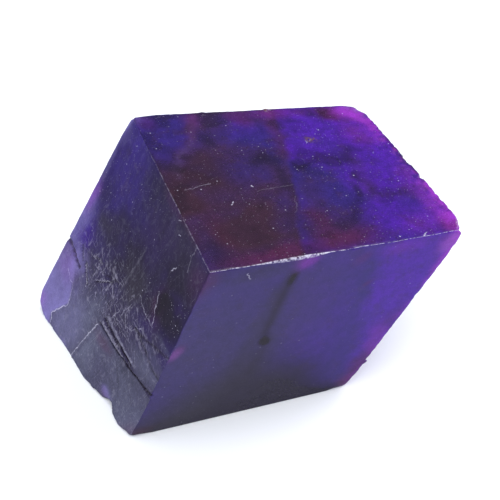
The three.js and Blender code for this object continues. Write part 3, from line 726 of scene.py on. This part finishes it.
def zones(face, shares, points):
    """How much of each colour lies where, from 0 to 1, on one face of the stone: a few soft shapes in
    the face's shares, stirred by slow and by quick noise, and then the patches."""
    a, b, _ = shares
    u, v = face_shares(face, shares)
    seed = 40 + 10 * FACES.index(face)
    slow, quick = 2 * rough(u, v, (5, 5), 3, seed), 1.5 * rough(u, v, (16, 16), 3, seed + 4)
    uw = u + 0.012 * slow + 0.012 * quick
    vw = v + 0.03 * rough(u, v, (9, 9), 4, seed + 7)
    zone = {name: np.zeros(u.shape) for name in ZONES}
    rim = np.exp(-(1 - a) * EDGE[0] / THIN_RIM)

    if face == "top":
        # Painted light beyond the fracture and maroon with painted shade before it, with a red seam,
        # veins where both noises are high, and a thin right edge flecked with red, with magenta that is
        # a painted glow of light through the thin stone, and with lavender that is partly that painted
        # glow.
        line_u, line_v = np.array(FRACTURE_TOP).T
        end = smooth(u - np.interp(v, line_v, line_u) + 0.01 * quick, -0.012, 0.02)
        fleck = 2 * noise(u, v, (60, 60), seed=91)
        zone["bright"] = end * (0.4 + 0.45 * smooth(uw, 0.58, 0.8)) * (1 + 0.5 * slow)
        zone["maroon"] = (1 - end) * (0.95 - 0.4 * smooth(vw, 0.62, 0.85)) * (1 + 0.3 * slow)
        zone["red"] = (0.15 + 0.3 * smooth(v, 0.7, 0.9)) * line_zone(uw, vw, TOP_SEAM, 0.7)
        zone["red"] += 0.4 * rim * smooth(-fleck, 0.1, 0.8)
        zone["vein"] = 0.4 * smooth(slow + 0.6 * quick, 0.15, 0.7)
        zone["vein"] += 0.8 * smooth(u + 0.012 * fleck, 0.982, 0.992)
        zone["glow"] = rim * (0.3 + 0.8 * quick + 0.6 * fleck)
        zone["pale"] = 0.5 * rim * smooth(fleck + quick, 0.5, 1.2)
        zone["pale"] += 0.12 * line_zone(uw, vw, TOP_SEAM, 0.45)
    elif face == "front":
        # Bright with painted light beyond a leaning line, with a dark foot in the middle under a film
        # with a painted sheen of the pale floor, and the fracture.
        foot = 0.52 - 0.87 * np.abs(uw - 0.42) - vw
        zone["bright"] = 0.1 + 0.75 * smooth(uw + 0.33 * vw, 0.93, 1.06) * (1 + 0.25 * slow)
        zone["dark"] = 0.95 * smooth(foot, -0.12, 0.32) + 0.45 * (1 - smooth(vw, 0.0, 0.12))
        zone["film"] = 0.4 * smooth(foot, -0.1, 0.3)
        zone["vein"] = 0.5 * line_zone(u, v, FRACTURE_FRONT, 0.6)
        zone["vein"] += 0.2 * line_zone(u, v, FRACTURE_FOOT, 0.6)
        # The thin right edge gets a painted glow of light through the stone.
        zone["glow"] = 0.35 * rim * (0.7 + 1.2 * quick)
    elif face == "left":
        # Dark above, and below a film with a painted sheen that reflects the pale floor, with a dark
        # facet, near-black streaks and near-black painted shade in the grooves, slate on the slab and a
        # painted highlight of slate on the ridges, and a lavender corner that is partly a painted glow
        # of light through the thin stone.
        facet = smooth(inside(uw, vw, FLOORS["left"][1]) + 0.25 * quick, -0.1, 0.5)
        facet = facet * smooth(v, 0.53, 0.6) * (1 - smooth(v, 0.66, 0.82))
        slab = smooth(inside(u, v, FLOORS["left"][0]), -0.1, 0.3)
        cuts = grooves(*waved(u, v))
        streak = smooth(noise(u, v, (26, 3), seed=77) + 0.3 * quick, 0.0, 0.8)
        zone["dark"] = 0.75 * smooth(vw, 0.3, 0.55) * (1 + 0.4 * slow) * (1 - 0.5 * facet)
        zone["dark"] += 0.2 * facet
        # Near-black painted shade fills the grooves.
        zone["vein"] = 0.3 * facet + 0.8 * smooth(cuts, 0.03, 0.15)
        zone["vein"] += 0.16 * streak * smooth(v, 0.5, 0.65)
        # A film of scratches with a painted sheen of the pale floor, stronger lower down.
        zone["film"] = (0.05 + 0.78 * smooth(0.76 - vw + 0.1 * slow, 0.0, 0.4)) * (1 - facet)
        # The slate on the ridges between the grooves is a painted highlight.
        zone["slab"] = 0.5 * slab * (1 + 0.5 * slow) + 0.4 * smooth(-cuts, 0.02, 0.12)
        # The lavender corner is partly a painted glow of light through the thin stone.
        border_v, border_u = np.array(PALE_BORDER).T
        off = u - np.interp(v + 0.3 * (vw - v), border_v, border_u)
        pale = smooth(off + 0.004 * quick, -0.008, 0.012 + 0.2 * smooth(v, 0.2, 0.5))
        zone["pale"] = (0.92 - 0.42 * smooth(v, 0.12, 0.36)) * pale
    else:
        # Bright with painted light beyond the plane of the fracture, maroon with painted shade before
        # it, with veins and a film with a painted sheen. The right face is all bright with painted
        # light, and its two upright edges are thin and get a painted glow.
        beyond = (points - FRACTURE_POINT) @ FRACTURE_NORMAL + 0.5 * slow
        end = smooth(beyond, -0.5, 1.5)
        zone["bright"] = 0.75 + 0.25 * slow if face == "right" else 0.8 * end
        zone["maroon"] = (1 - end) * 0.5 * (1 + slow) if face == "back" else 0.3 * (1 - b)
        zone["vein"] = 0.5 * smooth(slow, 0.25, 0.7)
        zone["film"] = 0.25 + 0.3 * smooth(quick, -0.2, 0.6)
        if face == "right":
            rim = np.exp(-np.minimum(b, 1 - b) * EDGE[1] / 1.5)
        zone["glow"] = 0.5 * rim
    for name, rows in PATCHES.get(face, {}).items():
        for row in rows:
            strength, *where = (x / 100 for x in row[:5])
            zone[name] = zone[name] + strength * patch(uw, vw, *where, *row[5:])
    return {name: np.clip(x, 0, 1) for name, x in zone.items()}


def finishes(face, shares, pale):
    """How clear, scored, dusty, rough, cloudy and white with chips and a painted highlight along the
    edges one face of the stone is. pale is how much of the lavender corner lies where."""
    a, b, c = shares
    u, v = face_shares(face, shares)
    clear, scored, dust, matte, mottle = FACE_FINISH.get(face, BROKEN_FINISH)
    if face == "left":
        # It is scored most in a patch in the middle, less low down, and hardly on the facet and the
        # lavender corner. Dust lies on the facet and high up.
        facet = smooth(inside(u, v, FLOORS["left"][1]), -0.1, 0.4)
        scored = scored + 0.22 * smooth(0.72 - v, 0, 0.25)
        scored = scored + 0.65 * patch(u, v, 0.53, 0.41, 0.34, 0.13)
        scored = scored * (1 - 0.8 * facet) * (1 - 0.7 * pale)
        dust = dust + 0.9 * facet + 0.5 * smooth(v, 0.45, 0.6)
    spark = 0.0
    if face in ("top", "front"):
        # White chips and a painted highlight along their common edge: a band that is widest from 0.16
        # to
        # 0.46 of its length and faint at the left end and past the middle.
        off, widest = (b * EDGE[1], 0.24) if face == "top" else ((1 - c) * EDGE[2], 0.42)
        width = 0.08 + widest * smooth(a, 0.16, 0.32) * (1 - smooth(a, 0.37, 0.46))
        faint = (0.4 + 0.6 * smooth(a, 0.04, 0.14)) * (1 - 0.55 * smooth(a, 0.45, 0.55))
        spark = np.clip(1 - off / width, 0, 1) * faint
    if face in ("top", "left"):
        # A thin faint painted highlight along their common edge, fainter still at the back.
        off = a * EDGE[0] if face == "top" else (1 - c) * EDGE[2]
        line = 0.2 * np.clip(1 - off / 0.14, 0, 1) * (1 - 0.7 * smooth(b, 0.65, 0.8))
        spark = np.maximum(spark, line)
    return dict(zip(FINISHES, (clear, scored, dust, matte, mottle, spark)))


def on_sheet(face, u, v):
    """Where two shares of a face lie on the sheet, in millimetres."""
    return SHEET_STEP * FACES.index(face) + u * FACE_MM, v * FACE_MM


def paint(mesh, shares, points, quads, face):
    """Writes the zones, the finishes and the sheet, the six faces laid side by side, to the mesh."""
    corners, corner_face = quads.ravel(), np.repeat(face, 4)
    values = {name: np.zeros(len(corners)) for name in (*ZONES, *FINISHES)}
    sheet = np.zeros((len(corners), 2))
    for k, name in enumerate(FACES):
        on = corner_face == k
        at = shares[:, corners[on]]
        zone = zones(name, at, points[corners[on]])
        for key, x in {**zone, **finishes(name, at, zone["pale"])}.items():
            values[key][on] = x
        sheet[on] = np.stack(on_sheet(name, *face_shares(name, at)), axis=1) / SHEET_MM
    for name, x in values.items():
        attribute = mesh.attributes.new(name, "FLOAT", "CORNER")
        attribute.data.foreach_set("value", x.astype(np.float32))
    mesh.uv_layers.new(name="sheet").uv.foreach_set("vector", sheet.astype(np.float32).ravel())


# ---- Finish ----


def node(tree, kind, *values, output=0, settings=None, **named):
    """Adds a node and returns one of its outputs. kind is its type, with its operation after a space
    where it has one, and settings are its other properties. Each input takes a value or the output
    that feeds it: values fill the inputs in order, and named ones go by name, or by place as i0, i1."""
    kind, _, operation = kind.partition(" ")
    made = tree.nodes.new("ShaderNode" + kind)
    if operation:
        made.operation = operation
    for key, value in (settings or {}).items():
        setattr(made, key, value)
    for key, value in [*enumerate(values), *named.items()]:
        if isinstance(key, str):
            key = int(key[1:]) if key[1:].isdigit() else key.replace("_", " ")
        socket = made.inputs[key]
        if isinstance(value, bpy.types.NodeSocket):
            tree.links.new(value, socket)
        else:
            socket.default_value = value
    return made.outputs[output]


def tanzanite_finish(colours):
    """Raw tanzanite, cleaved and worn: a glassy stone, so dark a violet that hardly any light comes
    through, and dull where it is scored. Its colour zones come from the mesh, and its scratches, dust
    and white chips with a painted highlight along the edges are drawn here in millimetres."""
    material = bpy.data.materials.new("raw_tanzanite")
    material.use_nodes = True
    tree = material.node_tree
    tree.nodes.clear()
    add = partial(node, tree)
    eased, clamped = {"interpolation_type": "SMOOTHSTEP"}, {"use_clamp": True}

    colour = {name: (*getattr(colours, name), 1) for name in TanzaniteColours.__annotations__}
    zone = {
        name: add("Attribute", output="Fac", settings={"attribute_name": name})
        for name in (*ZONES, *FINISHES)
    }
    at = add("Mapping", Vector=add("TexCoord", output="Object"), Scale=(1 / MM, 1 / MM, 1 / MM))
    sheet = add("UVMap", settings={"uv_map": "sheet"})
    sheet = add("Mapping", Vector=sheet, Scale=(SHEET_MM, SHEET_MM, 1))
    noises = {}
    for name, (scale, detail, roughness, *rise) in NOISES.items():
        made = add("TexNoise", Vector=at, Scale=scale, Detail=detail, Roughness=roughness)
        noises[name] = add("MapRange", made, *rise, settings=eased) if rise else made

    def covered(base, layers):
        """A colour covered by others in turn, each as strongly as the product of its values."""
        for name, *values, strength in layers:
            for value in reversed(values):
                strength = add("Math MULTIPLY", value, strength)
            rgba = {"data_type": "RGBA"}
            base = add("Mix", strength, i6=base, i7=colour[name], output=2, settings=rgba)
        return base

    def stretched(turn, across, along, detail=3.0):
        """Noise on the sheet, drawn out into strokes."""
        turned = add("Mapping", Vector=sheet, Rotation=(0, 0, math.radians(turn)))
        drawn_out = add("Mapping", Vector=turned, Scale=(across, along, 1))
        return add("TexNoise", Vector=drawn_out, Scale=1.0, Detail=detail, Roughness=0.65)

    # Cloudy depth: two sizes of cloud, 6 mm and 1.2 mm, push the zones' borders and their brightness,
    # and dusky wisps of 2 mm drift between them.
    both = add("Math ADD", noises["cloud"], noises["wisps"])
    shift = add("Math MULTIPLY_ADD", both, 0.6, -0.6)
    gain, spread = add("Math MULTIPLY_ADD", shift, 1.5, 1.0), add("Math MULTIPLY", shift, 0.25)
    lit = add("Math MULTIPLY_ADD", zone["bright"], gain, spread, settings=clamped)
    layers = [("bright", lit), ("maroon", noises["dusk"], zone["mottle"])]
    for name in ("maroon", "dark", "film", "slab", "pale", "red", "vein", "glow"):
        layers.append((name, zone[name]))

    # Fine scoring of the broken left end: two crossing sets of short strokes 0.15 mm wide, whose
    # troughs are nearly black and whose crests are pale, and curved pale hairs, drawn where stretched
    # noise crosses its mean.
    strokes, cross = scoring = [stretched(*numbers) for numbers in SCORING]
    troughs, crests = (
        add("Math MAXIMUM", *(add("MapRange", x, *y, settings=eased) for x, y in zip(scoring, levels)))
        for levels in (TROUGHS, CRESTS)
    )
    hairs = add("Math MULTIPLY", crests, 0.5)
    for numbers in HAIRS:
        off = add("Math SUBTRACT", stretched(*numbers, detail=0.0), 0.5)
        off = add("Math ABSOLUTE", off)
        hairs = add("Math MAXIMUM", hairs, add("MapRange", off, 0.03, 0.008, settings=eased))
    hairs = add("Math MULTIPLY", hairs, noises["hair gaps"])
    layers += [
        ("vein", troughs, zone["scored"], 0.8),
        ("spark", hairs, zone["scored"], 0.26),
        ("rust", zone["rust"], noises["rust"]),
    ]
    base = covered(colour["deep"], layers)

    # Grain of the stone: brightness comes and goes at 1.2 mm and at 0.2 mm.
    both = add("Math ADD", noises["wisps"], noises["grain"])
    grain = add("Math MULTIPLY_ADD", both, 1.1, -1.1)
    grain = add("Math MULTIPLY_ADD", grain, zone["mottle"], 1.0)
    base = add("VectorMath SCALE", base, i3=grain)

    # Hair cracks and scratches: the distance from each stretch of a broken line. The line wavers a
    # little and is broken up by fine noise.
    waver = add("TexNoise", Vector=sheet, Scale=1.6, Detail=3.0, output="Color")
    wandered = add("VectorMath MULTIPLY_ADD", waver, (WANDER, WANDER, 0), sheet)
    drawn = 0.0
    for face, rows in STROKES.items():
        for line, width, white in rows:
            places = [on_sheet(face, u, v) for u, v in line]
            places = [(x + WANDER / 2, y + WANDER / 2, 0) for x, y in places]
            apart = width
            for start, end in zip(places, places[1:]):
                along = tuple(y - x for x, y in zip(start, end))
                way = tuple(x / math.hypot(*along) ** 2 for x in along)
                off = add("VectorMath SUBTRACT", wandered, start)
                t = add("VectorMath DOT_PRODUCT", off, way, output="Value")
                t = add("Math ADD", t, 0.0, settings=clamped)
                near = add("VectorMath SCALE", along, i3=t)
                away = add("VectorMath DISTANCE", off, near, output="Value")
                apart = add("Math MINIMUM", apart, away)
            mark = add("MapRange", apart, width, 0.2 * width, 0.0, white, settings=eased)
            drawn = add("Math MAXIMUM", drawn, mark)
    layers = [("spark", drawn, noises["line gaps"])]

    # Dust and tiny pits that catch the light: one speck in each cell, and none in nearly half of them.
    dusty = add("Math MULTIPLY", zone["dust"], noises["dust"])
    for cell, radius, strength in SPECKS:
        flat = {"voronoi_dimensions": "2D"}
        off = add("TexVoronoi", Vector=sheet, Scale=1 / cell, output="Distance", settings=flat)
        size = add("SeparateColor", off.node.outputs["Color"])
        reach = add("Math MULTIPLY", size, radius)
        dot = add("MapRange", add("Math MULTIPLY", off, cell), reach, 0.0, settings=eased)
        layers.append(("spark", dot, add("Math GREATER_THAN", size, 0.45), dusty, strength))

    # White chips with a painted highlight along the front top edge, and a thin broken painted highlight
    # along the left one.
    chips = add("MapRange", zone["chips_and_glint_edge"], 0.0, 0.5, settings=eased)
    base = covered(base, [*layers, ("spark", chips, noises["grit"])])

    uneven = add("Math MULTIPLY", add("Math SUBTRACT", strokes, 0.5), zone["scored"])
    relief = add("Math MULTIPLY", add("Math ADD", strokes, cross), zone["scored"])
    shader = add(
        "BsdfPrincipled",
        Base_Color=base,
        Roughness=add("Math ADD", zone["matte"], uneven, settings=clamped),
        IOR=TANZANITE_IOR,
        Normal=add("Bump", Strength=1.0, Distance=RELIEF_MM * MM, Height=relief),
        Specular_IOR_Level=SPECULAR_LEVEL,
        Transmission_Weight=zone["clear"],
    )
    out = tree.nodes.new("ShaderNodeOutputMaterial")
    tree.links.new(shader, out.inputs["Surface"])
    return material


class OBJECT_OT_tanzanite_block(bpy.types.Operator):
    """Builds the fine skin of the stone and gives it its finish"""

    bl_idname = "object.tanzanite_block"
    bl_label = "Tanzanite block"

    def execute(self, context):
        shape, colours = context.scene.tanzanite_shape, context.scene.tanzanite_colours
        shares, quads, face = block_grid()
        points = skin(shares, shape)
        mesh = bpy.data.meshes.new("tanzanite_skin")
        mesh.from_pydata(points * MM, [], quads)
        paint(mesh, shares, points, quads, face)
        mesh.shade_smooth()
        mesh.set_sharp_from_angle(angle=math.radians(SHARP_ANGLE))
        mesh.materials.append(tanzanite_finish(colours))
        mesh.validate()
        stone = bpy.data.objects.new("tanzanite_skin", mesh)
        context.collection.objects.link(stone)
        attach(stone, "root")
        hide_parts(NODE)
        return {"FINISHED"}


def area_light(name, power, size, location):
    """Adds a soft round light that faces the stone."""
    data = bpy.data.lights.new(name, "AREA")
    data.shape, data.size, data.energy = "DISK", size, power
    lamp = bpy.data.objects.new(name, data)
    lamp.location = location
    way = Vector(LIGHT_TARGET) - Vector(location)
    lamp.rotation_euler = way.to_track_quat("-Z", "Y").to_euler()
    bpy.context.collection.objects.link(lamp)


def floor_surface():
    """Points and faces of the floor: a circle at each radius and height, joined by a closed grid, with
    one face in the middle."""
    turn = np.linspace(0, 2 * np.pi, FLOOR_SIDES, endpoint=False)
    sweep = np.linspace(0, np.pi / 2, RIM_RINGS)
    radius = np.concatenate([FLAT_RINGS, FLAT + RIM_RUN * np.sin(sweep)])
    height = np.concatenate([np.zeros(len(FLAT_RINGS)), RIM_RISE * (1 - np.cos(sweep))])
    x, y = np.outer(radius, np.cos(turn)), np.outer(radius, np.sin(turn))
    points = np.stack([x, y, np.broadcast_to(height[:, None], x.shape)], axis=-1)
    cells = grid_cells(len(radius), FLOOR_SIDES, closed=True).tolist()
    return points.reshape(-1, 3), [*cells, list(range(FLOOR_SIDES))]


class SCENE_OT_tanzanite_stage(bpy.types.Operator):
    """Builds the pale floor, the soft lights and the camera"""

    bl_idname = "scene.tanzanite_stage"
    bl_label = "Tanzanite stage"

    def execute(self, context):
        settings = context.scene.tanzanite_stage
        mesh = bpy.data.meshes.new("floor")
        points, cells = floor_surface()
        mesh.from_pydata(points, [], cells)
        mesh.shade_smooth()
        floor = bpy.data.objects.new("floor", mesh)
        context.collection.objects.link(floor)
        # Matte paper: white with hardly any gloss, so that the stone stands in even light.
        paper = bpy.data.materials.new("matte_paper")
        paper.use_nodes = True
        principled = paper.node_tree.nodes["Principled BSDF"]
        principled.inputs["Base Color"].default_value = (*settings.floor, 1)
        principled.inputs["Roughness"].default_value = 0.9
        principled.inputs["Specular IOR Level"].default_value = 0.1
        mesh.materials.append(paper)

        for name, (share, size, location) in LIGHTS.items():
            area_light(name, settings.softbox * share, size, location)
        world = bpy.data.worlds.new("studio")
        world.use_nodes = True
        background = world.node_tree.nodes["Background"]
        background.inputs["Color"].default_value = SKY
        background.inputs["Strength"].default_value = SKY_STRENGTH
        context.scene.world = world
        context.scene.view_settings.view_transform = "Standard"

        data = bpy.data.cameras.new("camera")
        data.lens, data.sensor_width, data.clip_start = settings.lens, SENSOR_WIDTH, NEAR_CLIP
        camera = bpy.data.objects.new("camera", data)
        camera.location = CAMERA_PLACE
        camera.rotation_euler = (math.radians(CAMERA_TILT), 0, math.radians(CAMERA_TURN))
        context.collection.objects.link(camera)
        context.scene.camera = camera
        return {"FINISHED"}


class VIEW3D_PT_tanzanite(bpy.types.Panel):
    """Lists the two builders and the settings"""

    bl_label = "Raw tanzanite"
    bl_space_type = "VIEW_3D"
    bl_region_type = "UI"
    bl_category = "Tanzanite"

    def draw(self, context):
        for operator in (OBJECT_OT_tanzanite_block, SCENE_OT_tanzanite_stage):
            self.layout.operator(operator.bl_idname)
        for name, group in SETTINGS.items():
            column = self.layout.column(align=True)
            for setting in group.__annotations__:
                column.prop(getattr(context.scene, name), setting)


CLASSES = (
    TanzaniteShape,
    TanzaniteColours,
    TanzaniteStage,
    OBJECT_OT_tanzanite_block,
    SCENE_OT_tanzanite_stage,
    VIEW3D_PT_tanzanite,
)
SETTINGS = {
    "tanzanite_shape": TanzaniteShape,
    "tanzanite_colours": TanzaniteColours,
    "tanzanite_stage": TanzaniteStage,
}


def register():
    for cls in CLASSES:
        bpy.utils.register_class(cls)
    for name, group in SETTINGS.items():
        setattr(bpy.types.Scene, name, bpy.props.PointerProperty(type=group))


def unregister():
    for name in SETTINGS:
        delattr(bpy.types.Scene, name)
    for cls in reversed(CLASSES):
        bpy.utils.unregister_class(cls)


def main():
    register()
    bpy.ops.scene.tanzanite_stage()
    bpy.ops.object.tanzanite_block()


if __name__ == "__main__":
    main()
